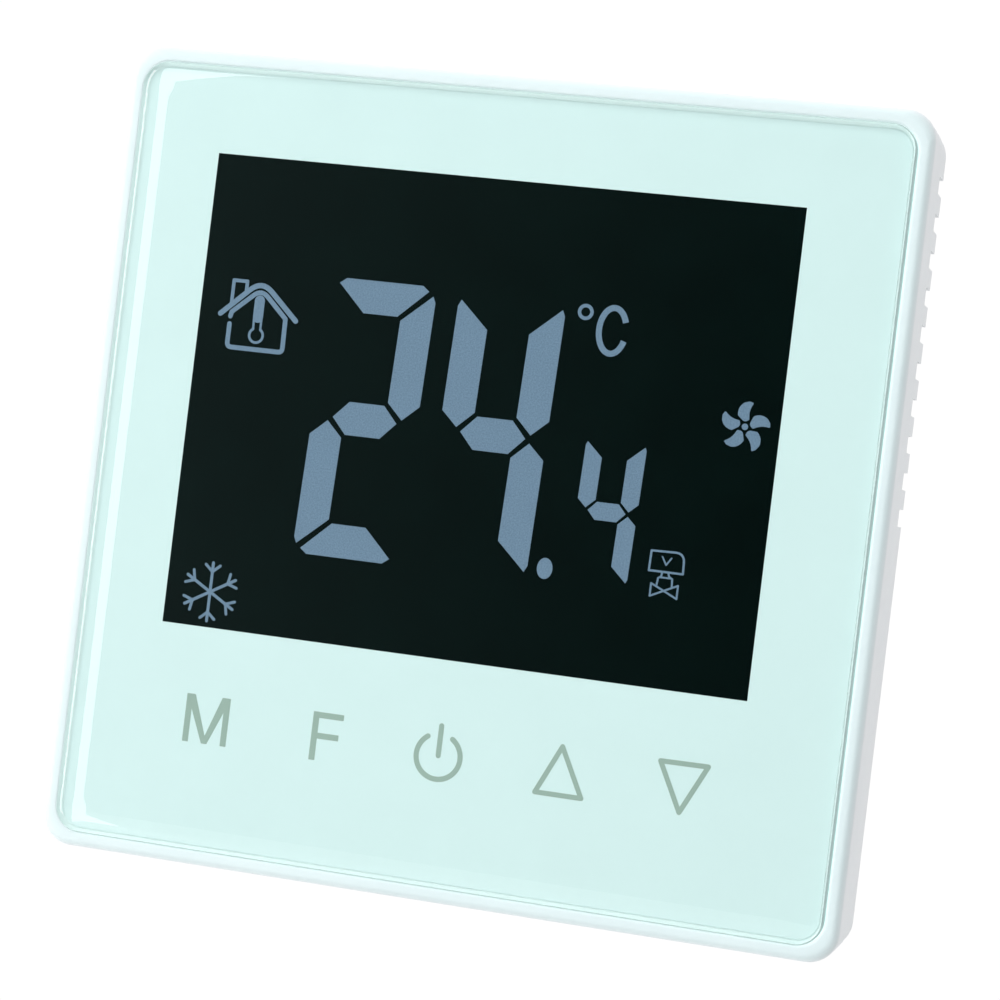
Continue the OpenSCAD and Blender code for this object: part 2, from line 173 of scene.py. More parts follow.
def mesh_from(name, vertices, faces):
    """A mesh of those corners, in millimetres, with its faces turned outwards."""
    mesh = bpy.data.meshes.new(name)
    mesh.from_pydata([Vector(v) * MM for v in vertices], [], faces)
    mesh.validate()
    made = bmesh.new()
    made.from_mesh(mesh)
    bmesh.ops.recalc_face_normals(made, faces=made.faces)
    made.to_mesh(mesh)
    made.free()
    return mesh


def flat_mesh(name, outlines, front_y, back_y):
    """A thin closed piece cut to the union of the outlines, between two heights."""
    points, faces = [], []
    for outline in outlines:
        area = sum(a[0] * b[1] - b[0] * a[1] for a, b in zip(outline, outline[1:] + outline[:1]))
        ring = outline if area > 0 else outline[::-1]
        faces.append(list(range(len(points), len(points) + len(ring))))
        points += [Vector(p) for p in ring]
    corners, _, triangles, _, _, sources = delaunay_2d_cdt(points, [], faces, 1, 1e-5)
    triangles = [t for t, source in zip(triangles, sources) if source]
    count = len(corners)
    vertices = [(p.x, front_y, p.y) for p in corners] + [(p.x, back_y, p.y) for p in corners]
    out = [list(t) for t in triangles] + [[i + count for i in reversed(t)] for t in triangles]
    used = {}
    for t in triangles:
        for a, b in zip(t, t[1:] + t[:1]):
            used[(a, b)] = True
    out += [[b, a, a + count, b + count] for a, b in used if (b, a) not in used]
    return mesh_from(name, vertices, out)


def sweep_mesh(name, profile, half, steps=12):
    """Sweeps (inset, y, corner radius) stations round a square, with a flat cap at either end."""
    rings = []
    for inset, y, corner in profile:
        rings.append([(x, y, z) for x, z in rounded_square(half - inset, corner, steps)])
    size = len(rings[0])
    vertices = [p for ring in rings for p in ring]
    last = len(rings) - 1
    faces = []
    for i in range(last):
        row, next_row = i * size, (i + 1) * size
        for k in range(size):
            n = (k + 1) % size
            faces.append([row + k, row + n, next_row + n, next_row + k])
    faces.append(list(range(size)))
    faces.append([last * size + k for k in reversed(range(size))])
    return mesh_from(name, vertices, faces)


BOX_SIDES = ((0, 1, 3, 2), (4, 6, 7, 5), (0, 4, 5, 1), (2, 3, 7, 6), (0, 2, 6, 4), (1, 5, 7, 3))


def box_faces(low, high, vertices, faces):
    """Adds a box to the two lists."""
    start = len(vertices)
    vertices += [(x, y, z) for x in (low[0], high[0]) for y in (low[1], high[1]) for z in (low[2], high[2])]
    faces += [[start + i for i in side] for side in BOX_SIDES]


def tube_mesh(name, paths, radius, sides=8):
    """Round tubes with closed ends, one along the points of each path."""
    up = Vector((0, 1, 0))
    vertices, faces = [], []
    for points in paths:
        start = len(vertices)
        for i, point in enumerate(points):
            ahead = Vector(points[min(i + 1, len(points) - 1)]) - Vector(points[max(i - 1, 0)])
            side = ahead.cross(up).normalized()
            over = side.cross(ahead).normalized()
            for k in range(sides):
                a = 2 * math.pi * k / sides
                vertices.append(tuple(Vector(point) + radius * (math.cos(a) * side + math.sin(a) * over)))
        last_row = start + (len(points) - 1) * sides
        for row in range(start, last_row, sides):
            next_row = row + sides
            for k in range(sides):
                n = (k + 1) % sides
                faces.append([row + k, row + n, next_row + n, next_row + k])
        faces.append([start + k for k in reversed(range(sides))])
        faces.append([last_row + k for k in range(sides)])
    return mesh_from(name, vertices, faces)


# ---------------- materials


def principled(name):
    """A new material, with its node tree and its shader."""
    material = bpy.data.materials.new(name)
    material.use_nodes = True
    tree = material.node_tree
    return material, tree, tree.nodes["Principled BSDF"]


def noise(tree, scale_mm, detail=3.0, stretch=(1, 1, 1)):
    """A noise texture whose features are about scale_mm across, and its output socket."""
    place = tree.nodes.new("ShaderNodeTexCoord")
    mapping = tree.nodes.new("ShaderNodeMapping")
    mapping.inputs["Scale"].default_value = [s / (scale_mm * MM) for s in stretch]
    texture = tree.nodes.new("ShaderNodeTexNoise")
    texture.inputs["Scale"].default_value = 1
    texture.inputs["Detail"].default_value = detail
    tree.links.new(place.outputs["Object"], mapping.inputs["Vector"])
    tree.links.new(mapping.outputs["Vector"], texture.inputs["Vector"])
    return texture.outputs["Fac"]


def rgba(value):
    """A colour or a grey level, with full alpha."""
    return (*value, 1) if hasattr(value, "__len__") else (value, value, value, 1)


def ramp(tree, source, low, high, start=0.3, end=0.7):
    """Maps a 0 to 1 value to two colours or numbers."""
    made = tree.nodes.new("ShaderNodeValToRGB")
    for element, position, value in zip(made.color_ramp.elements, (start, end), (low, high)):
        element.position = position
        element.color = rgba(value)
    tree.links.new(source, made.inputs["Fac"])
    return made.outputs["Color"]


def bump(tree, shader, source, depth_mm, after=None):
    """Turns a height into bumps of that depth, on top of those of an earlier bump's output."""
    made = tree.nodes.new("ShaderNodeBump")
    made.inputs["Distance"].default_value = depth_mm * MM
    made.inputs["Strength"].default_value = 1
    tree.links.new(source, made.inputs["Height"])
    if after:
        tree.links.new(after, made.inputs["Normal"])
    tree.links.new(made.outputs["Normal"], shader.inputs["Normal"])
    return made.outputs["Normal"]


def shade(colour, share):
    """The colour made darker or brighter by that share."""
    return tuple(c * share for c in colour)


def moulded(name, colour, roughness, grain_mm=0.25, grain_depth=0.01, spread=0.06):
    """Moulded plastic or another even surface: a fine grain, and colour and roughness that drift a little."""
    material, tree, shader = principled(name)
    colours = ramp(tree, noise(tree, 9, 4), shade(colour, 1 - spread), shade(colour, 1 + spread * 0.4))
    tree.links.new(colours, shader.inputs["Base Color"])
    wear = ramp(tree, noise(tree, 2.5, 5), roughness * 0.85, min(roughness * 1.2, 1))
    tree.links.new(wear, shader.inputs["Roughness"])
    bump(tree, shader, noise(tree, grain_mm, 2), grain_depth)
    return material


def flat_place(tree, scale_mm=1.0, turn=0.0):
    """Coordinates in a plate's own plane, in steps of scale_mm, for patterns that use X and Y only."""
    place = tree.nodes.new("ShaderNodeTexCoord")
    mapping = tree.nodes.new("ShaderNodeMapping")
    mapping.inputs["Rotation"].default_value = (math.pi / 2, 0, turn)
    mapping.inputs["Scale"].default_value = [1 / (scale_mm * MM)] * 3
    tree.links.new(place.outputs["Object"], mapping.inputs["Vector"])
    return mapping.outputs["Vector"]


def blend_colours(tree, factor, a, b):
    """Goes from a to b with the factor; each of a and b is a socket or a colour."""
    made = tree.nodes.new("ShaderNodeMix")
    made.data_type = "RGBA"
    tree.links.new(factor, made.inputs["Factor"])
    for socket, value in ((made.inputs["A"], a), (made.inputs["B"], b)):
        if hasattr(value, "__len__"):
            socket.default_value = rgba(value)
        else:
            tree.links.new(value, socket)
    return made.outputs["Result"]


def multiply_colours(tree, a, b):
    """The product of two colour sockets."""
    made = tree.nodes.new("ShaderNodeMix")
    made.data_type = "RGBA"
    made.blend_type = "MULTIPLY"
    made.inputs["Factor"].default_value = 1
    tree.links.new(a, made.inputs["A"])
    tree.links.new(b, made.inputs["B"])
    return made.outputs["Result"]


def number(tree, operation, a, b=None):
    """A Math node whose inputs are sockets or numbers."""
    made = tree.nodes.new("ShaderNodeMath")
    made.operation = operation
    for socket, value in zip(made.inputs, (a, b)):
        if isinstance(value, (int, float)):
            socket.default_value = value
        elif value:
            tree.links.new(value, socket)
    return made.outputs["Value"]


def metal(name, colour, roughness, grain=(1, 1, 12), dull=0.12):
    """Drawn or turned metal: fine lines along one axis, and handling that has dulled parts of it."""
    material, tree, shader = principled(name)
    lines = noise(tree, 0.35, 3, grain)
    patches = noise(tree, 3.5, 5)
    colours = ramp(tree, patches, shade(colour, 1 - dull), colour, 0.35, 0.65)
    tree.links.new(colours, shader.inputs["Base Color"])
    tree.links.new(ramp(tree, patches, roughness * 1.35, roughness * 0.8), shader.inputs["Roughness"])
    shader.inputs["Metallic"].default_value = 1
    bump(tree, shader, lines, 0.006)
    return material


def plated_sheet(name):
    """Zinc plated sheet steel: faint spangle, a yellow cast in places and wiped streaks."""
    material, tree, shader = principled(name)
    cells = tree.nodes.new("ShaderNodeTexVoronoi")
    cells.inputs["Scale"].default_value = 1
    cells.inputs["Randomness"].default_value = 1
    tree.links.new(flat_place(tree, 2.2), cells.inputs["Vector"])
    level = tree.nodes.new("ShaderNodeSeparateXYZ")
    tree.links.new(cells.outputs["Color"], level.inputs["Vector"])
    spangle = ramp(tree, level.outputs["X"], (0.44, 0.46, 0.49), (0.52, 0.54, 0.57), 0, 1)
    cast = ramp(tree, noise(tree, 16, 3), 0.0, 0.55, 0.45, 0.75)
    tree.links.new(blend_colours(tree, cast, spangle, (0.50, 0.48, 0.40)), shader.inputs["Base Color"])
    tree.links.new(ramp(tree, noise(tree, 1.5, 4, (1, 1, 6)), 0.3, 0.42), shader.inputs["Roughness"])
    shader.inputs["Metallic"].default_value = 1
    bump(tree, shader, noise(tree, 0.9, 2, (1, 1, 5)), 0.003)
    return material


def printed_board(name):
    """Solder mask over copper tracks, with tinned pads scattered between them."""
    material, tree, shader = principled(name)
    runs = []
    for turn in (0, math.pi / 2):
        tracks = tree.nodes.new("ShaderNodeTexBrick")
        tracks.inputs["Scale"].default_value = 1
        tracks.inputs["Mortar Size"].default_value = 0.1
        tracks.inputs["Mortar Smooth"].default_value = 0.1
        tracks.inputs["Brick Width"].default_value = 8.6
        tracks.inputs["Row Height"].default_value = 0.42
        tracks.offset, tracks.squash, tracks.squash_frequency = 0.37, 0.45, 3
        tree.links.new(flat_place(tree, 2.54, turn), tracks.inputs["Vector"])
        runs.append(tracks.outputs["Fac"])
    region = ramp(tree, noise(tree, 22, 1), 0.0, 1.0, 0.49, 0.5)
    tracks = blend_colours(tree, region, runs[0], runs[1])
    pads = tree.nodes.new("ShaderNodeTexVoronoi")
    pads.inputs["Scale"].default_value = 1
    pads.inputs["Randomness"].default_value = 0.55
    tree.links.new(flat_place(tree, 3.81), pads.inputs["Vector"])
    pad = ramp(tree, pads.outputs["Distance"], 1.0, 0.0, 0.085, 0.1)
    pours = ramp(tree, noise(tree, 14, 1), 0.0, 1.0, 0.53, 0.545)
    copper = number(tree, "MAXIMUM", tracks, pours)
    mask = blend_colours(tree, copper, (0.006, 0.082, 0.032), (0.016, 0.17, 0.06))
    tree.links.new(blend_colours(tree, pad, mask, (0.62, 0.63, 0.64)), shader.inputs["Base Color"])
    tree.links.new(pad, shader.inputs["Metallic"])
    tree.links.new(ramp(tree, noise(tree, 4, 4), 0.22, 0.4), shader.inputs["Roughness"])
    bump(tree, shader, copper, 0.03)
    return material


def bonded(name, colour, spread):
    """A layer bonded to the back of the glass, so without a gloss of its own."""
    material = moulded(name, colour, 0.7, grain_mm=0.3, grain_depth=0.002, spread=spread)
    material.node_tree.nodes["Principled BSDF"].inputs["Specular IOR Level"].default_value = 0
    return material


# ---------------- the front glass and the layers behind it

glass_mat, tree, shader = principled("front_glass_polished")
shader.inputs["Base Color"].default_value = (0.965, 0.995, 0.99, 1)
shader.inputs["Transmission Weight"].default_value = 1
shader.inputs["IOR"].default_value = 1.5
tree.links.new(ramp(tree, noise(tree, 14, 5), 0.0, 0.02, 0.45, 0.8), shader.inputs["Roughness"])

ink_mat = bonded("mint_ink", (0.608, 0.785, 0.772), spread=0.012)
black_mat = bonded("display_black", (0.0012, 0.005, 0.0044), spread=0.2)
mark_mat = bonded("key_ink", (0.305, 0.42, 0.365), spread=0.03)

# The cut edge of the glass is ground matt and looks darker than its face
ground_mat, tree, shader = principled("ground_glass_edge")
ground_colour = ramp(tree, noise(tree, 0.3, 3), (0.44, 0.59, 0.57), (0.52, 0.67, 0.65))
tree.links.new(ground_colour, shader.inputs["Base Color"])
tree.links.new(ramp(tree, noise(tree, 0.15, 2), 0.5, 0.65), shader.inputs["Roughness"])
bump(tree, shader, noise(tree, 0.08, 2), 0.006)

sign_mat, tree, shader = principled("display_segments")
grain = noise(tree, 0.16, 2)
segment_colour = ramp(tree, grain, (0.086, 0.152, 0.222), (0.125, 0.205, 0.29))
tree.links.new(segment_colour, shader.inputs["Base Color"])
tree.links.new(segment_colour, shader.inputs["Emission Color"])
shader.inputs["Emission Strength"].default_value = 0.15
shader.inputs["Roughness"].default_value = 0.6

frame_mat, tree, shader = principled("frame_white_plastic")
object_place = tree.nodes.new("ShaderNodeTexCoord")
object_axes = tree.nodes.new("ShaderNodeSeparateXYZ")
tree.links.new(object_place.outputs["Object"], object_axes.inputs["Vector"])
frame_x, frame_y, frame_z = (object_axes.outputs[axis] for axis in "XYZ")

# Painted light: the lip beside the glass is painted with the glass's mint light, fading out over the first
# length below; the pocket that the glass lies in is painted with more of it, a little past its walls and its
# floor
PAINTED_LIGHT_FADE, PAST_WALLS, PAST_FLOOR = 0.9, 0.02, 0.2
across = number(tree, "MAXIMUM", number(tree, "ABSOLUTE", frame_x), number(tree, "ABSOLUTE", frame_z))
inside_pocket = number(tree, "LESS_THAN", across, (FRAME_HALF - POCKET_INSET + PAST_WALLS) * MM)
above_floor = number(tree, "LESS_THAN", frame_y, (FLOOR_FRONT_Y + PAST_FLOOR) * MM)
below_rim = number(tree, "GREATER_THAN", frame_y, (LIP_Y + INNER_ROUND) * MM)
in_pocket = number(tree, "MULTIPLY", number(tree, "MULTIPLY", inside_pocket, above_floor), below_rim)
below_lip = number(tree, "DIVIDE", number(tree, "SUBTRACT", frame_y, LIP_Y * MM), PAINTED_LIGHT_FADE * MM)
# Painted light: at the lip the skirt is painted darker and more mint than its own pale colour further back
skirt_colour_and_painted_light = ramp(tree, below_lip, (0.70, 0.806, 0.82), (0.825, 0.85, 0.875), 0.1, 1)
painted_glass_light = blend_colours(tree, in_pocket, skirt_colour_and_painted_light, (0.74, 0.90, 0.88))
drift = ramp(tree, noise(tree, 12, 4), (0.965, 0.97, 0.975), (1, 1, 1))
tree.links.new(multiply_colours(tree, painted_glass_light, drift), shader.inputs["Base Color"])
tree.links.new(ramp(tree, noise(tree, 1.2, 4), 0.38, 0.5), shader.inputs["Roughness"])
fine = bump(tree, shader, noise(tree, 0.35, 2), 0.02)
bump(tree, shader, noise(tree, 0.12, 2), 0.008, after=fine)

# From the flat middle outwards: a gentle crown, a steeper shoulder and a small round edge.
# Each is an arc between two slopes in degrees, over a width in mm.
GLASS_ARCS = ((0, 10, 2.45), (10, 32, 0.7), (32, 90, 0.25))
ARC_STEPS = 10
BACK_BEVEL = 0.15

# Edges above this angle, in degrees, are sharp, and faces whose normal has less than this along y are ground
GLASS_SHARP, GROUND_BELOW = 35, 0.7

inset, y = sum(width for start, end, width in GLASS_ARCS), GLASS_FACE_Y
glass_section = [(CAP_INSET, GLASS_FACE_Y), (inset, y)]
for start, end, width in GLASS_ARCS:
    start, end = math.radians(start), math.radians(end)
    radius = width / (math.sin(end) - math.sin(start))
    for i in range(1, ARC_STEPS + 1):
        a = start + (end - start) * i / ARC_STEPS
        outwards = radius * (math.sin(a) - math.sin(start))
        backwards = radius * (math.cos(start) - math.cos(a))
        glass_section.append((inset - outwards, y + backwards))
    inset, y = glass_section[-1]
glass_section += [(0, GLASS_BACK_Y - BACK_BEVEL), (BACK_BEVEL, GLASS_BACK_Y), (CAP_INSET, GLASS_BACK_Y)]
glass_section.reverse()

# The corners get tighter towards the middle, down to the smallest radius
CORNER_TIGHTER, CORNER_LEAST = 0.55, 0.4
glass_profile = []
for inset, y in glass_section:
    glass_profile.append((inset, y, max(GLASS_CORNER - CORNER_TIGHTER * inset, CORNER_LEAST)))
glass_mesh = sweep_mesh("glass_plate", glass_profile, GLASS_HALF)
glass = add_object("glass_plate", glass_mesh, "front_unit", glass_mat)
glass_mesh.set_sharp_from_angle(angle=math.radians(GLASS_SHARP))
glass_mesh.materials.append(ground_mat)
for face in glass_mesh.polygons:
    if abs(face.normal.y) < GROUND_BELOW:
        face.material_index = 1

# Light from the lamps and the surroundings reaches the layers behind the glass without passing through it
glass.visible_shadow = False
glass.visible_diffuse = False
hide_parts("glass_panel")

left, right, bottom, top = WINDOW
INK_HALF, INK_CORNER, INK_LEFT = 40.78, 2.0, 0.02
outer = [(x - INK_LEFT, z) for x, z in rounded_square(INK_HALF, INK_CORNER)]


def ring_outlines(outside, window):
    """The area between an outline and a rectangular window, as four outlines."""
    x0, x1, z0, z1 = window
    inner = [(x1, z1), (x0, z1), (x0, z0), (x1, z0)]
    quarter = len(outside) // 4
    out = []
    for i in range(4):
        corner, next_corner = i * quarter, (i + 1) % 4 * quarter
        from_middle = outside[corner + quarter // 2:corner + quarter]
        to_middle = outside[next_corner:next_corner + quarter // 2 + 1]
        out.append([inner[i]] + from_middle + to_middle + [inner[(i + 1) % 4]])
    return out


window_outline = [(left, bottom), (right, bottom), (right, top), (left, top)]
for name, outlines, slot, material in (
    ("ink_surround", ring_outlines(outer, WINDOW), "front_glass", ink_mat),
    ("display_window", [window_outline], "display_glass", black_mat),
):
    layer = flat_mesh(name, outlines, INK_FRONT_Y, INK_BACK_Y)
    add_object(name, layer, "front_unit", material, smooth=False)


def flipped(outline, sign_x, sign_z):
    """The outline mirrored across an axis where that axis's sign is -1."""
    return [(sign_x * x, sign_z * z) for x, z in outline]


def segment_outlines(width, height, thick):
    """The seven segments of a digit about its middle."""
    w, h, t = width / 2, height / 2, thick
    cut = 0.11 * t
    upper_right = [
        (w - t, h - t - cut), (w - 0.09 * t, h - 0.29 * t), (w, h - 0.48 * t),
        (w, 0.58 * t), (w - t / 2, 0.12 * t), (w - t, 0.6 * t),
    ]
    top_bar = [
        (t - w + cut, h - t), (w - t - cut, h - t), (w - 0.24 * t, h - 0.16 * t),
        (w - 0.45 * t, h), (0.45 * t - w, h), (0.24 * t - w, h - 0.16 * t),
    ]
    reach, rise = w - 0.64 * t, t / 2
    point = rise * 0.92
    middle = [
        (-reach, 0), (point - reach, -rise), (reach - point, -rise),
        (reach, 0), (reach - point, rise), (point - reach, rise),
    ]
    return {
        "a": top_bar, "b": upper_right, "c": flipped(upper_right, 1, -1), "d": flipped(top_bar, 1, -1),
        "e": flipped(upper_right, -1, -1), "f": flipped(upper_right, -1, 1), "g": middle,
    }


SLANT = 0.03


def digit(lit, x, z, width, height, thick):
    """The lit segments of one digit, leaning a little to the right."""
    outlines = segment_outlines(width, height, thick)
    return [[(x + px + SLANT * pz, z + pz) for px, pz in outlines[s]] for s in lit]


def add_sign(name, outlines, material=sign_mat, slot="display_glass"):
    """Adds a sign on the print, as a segment of the display or as a touch mark."""
    sign = flat_mesh(name, outlines, SIGN_FRONT_Y, INK_FRONT_Y)
    add_object(name, sign, "front_unit", material, smooth=False)


BIG = {"width": 11.5, "height": 29.3, "thick": 3.5}
SMALL = {"width": 6.4, "height": 15.1, "thick": 1.87}
add_sign("digit_tens", digit("abged", -12.55, 5.8, **BIG))
add_sign("digit_units", digit("fgbc", 1.4, 5.8, **BIG))
add_sign("decimal_dot", [disc(8.6, -7.2, 0.83, 1.1)])
add_sign("digit_tenths", digit("fgbc", 14.35, -0.67, **SMALL))
add_sign("degree_ring", stroke(disc(9.65, 19.5, 0.66), 0.36, closed=True))
add_sign("celsius_mark", stroke(arc(12.68, 17.85, 1.42, 2.36, 24, 336, 40), 0.62, round_ends=False))

HOUSE_ROOF = [(-29.85, 15.35)] + bend((-26.9, 18.1), (-25.65, 19.3), (-24.4, 18.15)) + [(-21.4, 15.35)]
HOUSE_WALLS = (
    [(-28.7, 15.15), (-28.6, 15.65)] + bend((-26.5, 17.5), (-25.6, 18.4), (-24.7, 17.5)) + [(-22.55, 15.45)]
    + bend((-22.5, 12.35), (-22.5, 11.9), (-22.95, 11.9), 4)
    + bend((-28.2, 11.9), (-28.7, 11.9), (-28.7, 12.4), 4) + [(-28.7, 14.35)]
)
add_sign(
    "house_sign",
    stroke(HOUSE_ROOF, 0.56) + stroke(HOUSE_WALLS, 0.5)
    + stroke([(-28.75, 16.5), (-28.75, 19.0), (-27.25, 19.0), (-27.25, 18.1)], 0.38)
    + stroke([(-25.62, 15.3), (-25.62, 17.1)], 1.12)
    + stroke([(-26.04, 15.1), (-26.0, 14.1)], 0.24) + stroke([(-25.2, 15.1), (-25.2, 14.1)], 0.24)
    + stroke(arc(-25.6, 13.4, 0.76, 0.76, 122, 418, 24), 0.27),
)

# One arm of the snowflake: its stem and two twigs, each with its width
SNOW_ARM = ((((0, 0), (0, 3.1)), 0.32), (((0, 2.15), (0.8, 2.85)), 0.3), (((0, 2.15), (-0.8, 2.85)), 0.3))
snow = []
for k in range(6):
    for points, width in SNOW_ARM:
        snow += stroke(turned(points, -27.25, -14.15, 60 * k), width)
add_sign("snowflake_sign", snow)

FAN_X, FAN_Z = 27.5, 9.6
BLADE = (
    bend((0.35, 0.75), (-0.1, 0.35), (-0.45, 0.75), 4) + bend((-0.85, 1.1), (-1.0, 1.95), (-0.3, 2.45), 6)
    + [(0.2, 2.6), (0.6, 2.5)] + bend((0.58, 2.35), (0.2, 1.7), (0.35, 0.9), 5)
)
add_sign("fan_sign", [turned(BLADE, FAN_X, FAN_Z, 72 * k) for k in range(5)] + [disc(FAN_X, FAN_Z, 0.33)])

VALVE_HEAD = (
    [(19.45, -6.02), (19.5, -3.98), (22.0, -3.92)]
    + bend((22.1, -3.92), (22.95, -3.95), (22.97, -4.9), 5) + [(23.0, -6.02)]
)
add_sign(
    "valve_sign",
    stroke(VALVE_HEAD, 0.22, closed=True) + stroke([(20.7, -4.5), (21.17, -5.3), (21.65, -4.55)], 0.17)
    + stroke([(20.85, -6.1), (20.8, -6.5), (20.5, -6.7), (20.42, -7.5)], 0.2)
    + stroke([(21.5, -6.1), (21.62, -6.45), (21.97, -6.65), (22.02, -7.45)], 0.2)
    + stroke([(20.7, -6.6), (21.8, -6.6)], 0.18)
    + stroke([(19.85, -7.3), (22.65, -8.6), (22.65, -7.25), (19.85, -8.6)], 0.2, closed=True),
)

# Marks of the five touch keys
MARK = {"material": mark_mat, "slot": "front_glass"}
add_sign(
    "key_mark_mode",
    stroke([(-28.05, -30.2), (-28.05, -25.1)], 0.66, round_ends=False)
    + stroke([(-23.8, -30.2), (-23.8, -25.1)], 0.66, round_ends=False)
    + [[(-28.38, -25.1), (-27.45, -25.1), (-25.62, -30.2), (-26.23, -30.2)]]
    + [[(-23.47, -25.1), (-24.4, -25.1), (-26.23, -30.2), (-25.62, -30.2)]],
    **MARK,
)
add_sign(
    "key_mark_fan",
    stroke([(-13.87, -30.2), (-13.87, -25.1)], 0.66, round_ends=False)
    + stroke([(-14.2, -25.42), (-10.85, -25.42)], 0.62, round_ends=False)
    + stroke([(-14.0, -27.6), (-11.2, -27.6)], 0.62, round_ends=False),
    **MARK,
)
add_sign(
    "key_mark_power",
    stroke(arc(-0.25, -27.95, 2.37, 2.37, 124, 416, 40), 0.55)
    + stroke([(-0.25, -27.85), (-0.25, -24.75)], 0.55),
    **MARK,
)
for name, corners in (
    ("key_mark_up", [(10.4, -30.1), (15.3, -30.1), (12.75, -25.1)]),
    ("key_mark_down", [(23.05, -25.1), (28.0, -25.05), (25.55, -30.05)]),
):
    add_sign(name, stroke(corners, 0.52, closed=True), **MARK)

# ---------------- the front frame

# Stations of (inset, y): the skirt from the wall forwards, past a fine groove, then over the lip and into
# the pocket
EDGE_BREAK = 0.15
LEDGE_INSET = 2.4
LEDGE_Y = GLASS_REST_Y + 0.02
GROOVE_Y = -4.1
skirt_section = [
    (SKIRT_WALL - EDGE_BREAK, 0), (0.2, 0), (0.06, -EDGE_BREAK),
    (0.06, GROOVE_Y + 0.1), (0.14, GROOVE_Y + 0.05), (0.14, GROOVE_Y - 0.05), (0, GROOVE_Y - 0.12),
]
outside_turn = arc(CREST_INSET, LIP_Y + OUTER_DROP, -CREST_INSET, -OUTER_DROP, 0, 90, 12)
inside_turn = arc(POCKET_INSET - INNER_ROUND, LIP_Y + INNER_ROUND, INNER_ROUND, -INNER_ROUND, 90, 10, 6)
pocket_section = [
    (POCKET_INSET, LIP_Y + INNER_ROUND), (POCKET_INSET, LEDGE_Y),
    (LEDGE_INSET, LEDGE_Y), (LEDGE_INSET + 0.05, FLOOR_FRONT_Y),
]
outside_section = skirt_section + outside_turn + inside_turn + pocket_section

# The whole frame is one closed tray, swept from the middle of its floor's front to the middle of its back
tray_section = [(CAP_INSET, FLOOR_FRONT_Y)] + outside_section[::-1]
tray_section += [(SKIRT_WALL, -EDGE_BREAK), (SKIRT_WALL, FLOOR_BACK_Y), (CAP_INSET, FLOOR_BACK_Y)]


def tray_corner(inset, y):
    """Corner radius of the frame at a station: below the lip, the inside of the skirt is tighter."""
    if y > LIP_Y + 1.2 and SKIRT_WALL - 0.2 < inset < CAP_INSET:
        return FRAME_CORNER - SKIRT_WALL
    return FRAME_CORNER - 0.1 * min(inset, 2)


tray_profile = [(inset, y, tray_corner(inset, y)) for inset, y in tray_section]
tray_mesh = sweep_mesh("front_frame_shell", tray_profile, FRAME_HALF)
shell = add_object("front_frame_shell", tray_mesh, "front_unit", frame_mat)
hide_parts("front_frame")

# Side slots, the pry slot below and the window behind the display are cut as boxes. These go CUT_IN past the
# outside of the skirt and stand SPARE proud of it.
VENTS, VENT_PITCH, VENT_GAP, VENT_DEPTH, VENT_TOP = 10, 3.83, 1.8, 4.0, 36.8
PRY_HALF, PRY_DEPTH = 4.5, 1.6
LCD_SIDE_ROOM, LCD_PIN_ROOM, LCD_TOP_ROOM = 0.4, 1.6, 0.3
CUT_IN, SPARE = 2.4, 1
FRAME_SHARP = 32
cut_vertices, cut_faces = [], []
for i in range(VENTS):
    z = VENT_TOP - i * VENT_PITCH
    for side in (-1, 1):
        x0, x1 = sorted((side * (FRAME_HALF - CUT_IN), side * (FRAME_HALF + SPARE)))
        box_faces((x0, -VENT_DEPTH, z - VENT_GAP / 2), (x1, SPARE, z + VENT_GAP / 2), cut_vertices, cut_faces)
pry_low = (-PRY_HALF, -PRY_DEPTH, -FRAME_HALF - SPARE)
pry_high = (PRY_HALF, SPARE, -FRAME_HALF + CUT_IN)
box_faces(pry_low, pry_high, cut_vertices, cut_faces)
lcd_low = (LCD_LOW.x - LCD_SIDE_ROOM, FLOOR_FRONT_Y - SPARE, LCD_LOW.z - LCD_PIN_ROOM)
lcd_high = (LCD_HIGH.x + LCD_SIDE_ROOM, FLOOR_BACK_Y + SPARE, LCD_HIGH.z + LCD_TOP_ROOM)
box_faces(lcd_low, lcd_high, cut_vertices, cut_faces)
cutter = bpy.data.objects.new("cutter", mesh_from("cutter", cut_vertices, cut_faces))
bpy.context.scene.collection.objects.link(cutter)
modifier = shell.modifiers.new("cuts", "BOOLEAN")
modifier.operation = "DIFFERENCE"
modifier.solver = "EXACT"
modifier.object = cutter
bpy.context.view_layer.update()
evaluated = shell.evaluated_get(bpy.context.evaluated_depsgraph_get())
cut_mesh = bpy.data.meshes.new_from_object(evaluated)
shell.modifiers.clear()
shell.data = cut_mesh
bpy.data.objects.remove(cutter)
shell.data.set_sharp_from_angle(angle=math.radians(FRAME_SHARP))

# ---------------- coil springs

KEY_PITCH, KEY_DOWN = 12.9, 27.6
SPRING_SHIFT = -0.1
SPRING_RADIUS, SPRING_WIRE, SPRING_TURNS = 3.0, 0.25, 6
FLAT_TURNS = 0.75
TURN_STEPS = 20

# Each spring lies flat for FLAT_TURNS at either end and climbs between them
y0, y1 = SPRING_HIGH.y - SPRING_WIRE, SPRING_LOW.y + SPRING_WIRE
spring_paths = []
for i in range(5):
    x = (i - 2) * KEY_PITCH + SPRING_SHIFT
    points = []
    for k in range(SPRING_TURNS * TURN_STEPS + 1):
        a = 2 * math.pi * k / TURN_STEPS
        share = min(max((k / TURN_STEPS - FLAT_TURNS) / (SPRING_TURNS - 2 * FLAT_TURNS), 0), 1)
        across, along = SPRING_RADIUS * math.cos(a), SPRING_RADIUS * math.sin(a)
        points.append((x + across, y0 + (y1 - y0) * share, -KEY_DOWN + along))
    spring_paths.append(points)
spring_mat = metal("gold_flash_wire", (0.85, 0.66, 0.34), 0.28)
coils = tube_mesh("touch_spring_coils", spring_paths, SPRING_WIRE)
springs = add_object("touch_spring_coils", coils, "front_unit", spring_mat)
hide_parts("touch_springs")

# ---------------- materials of the CAD nodes that stay

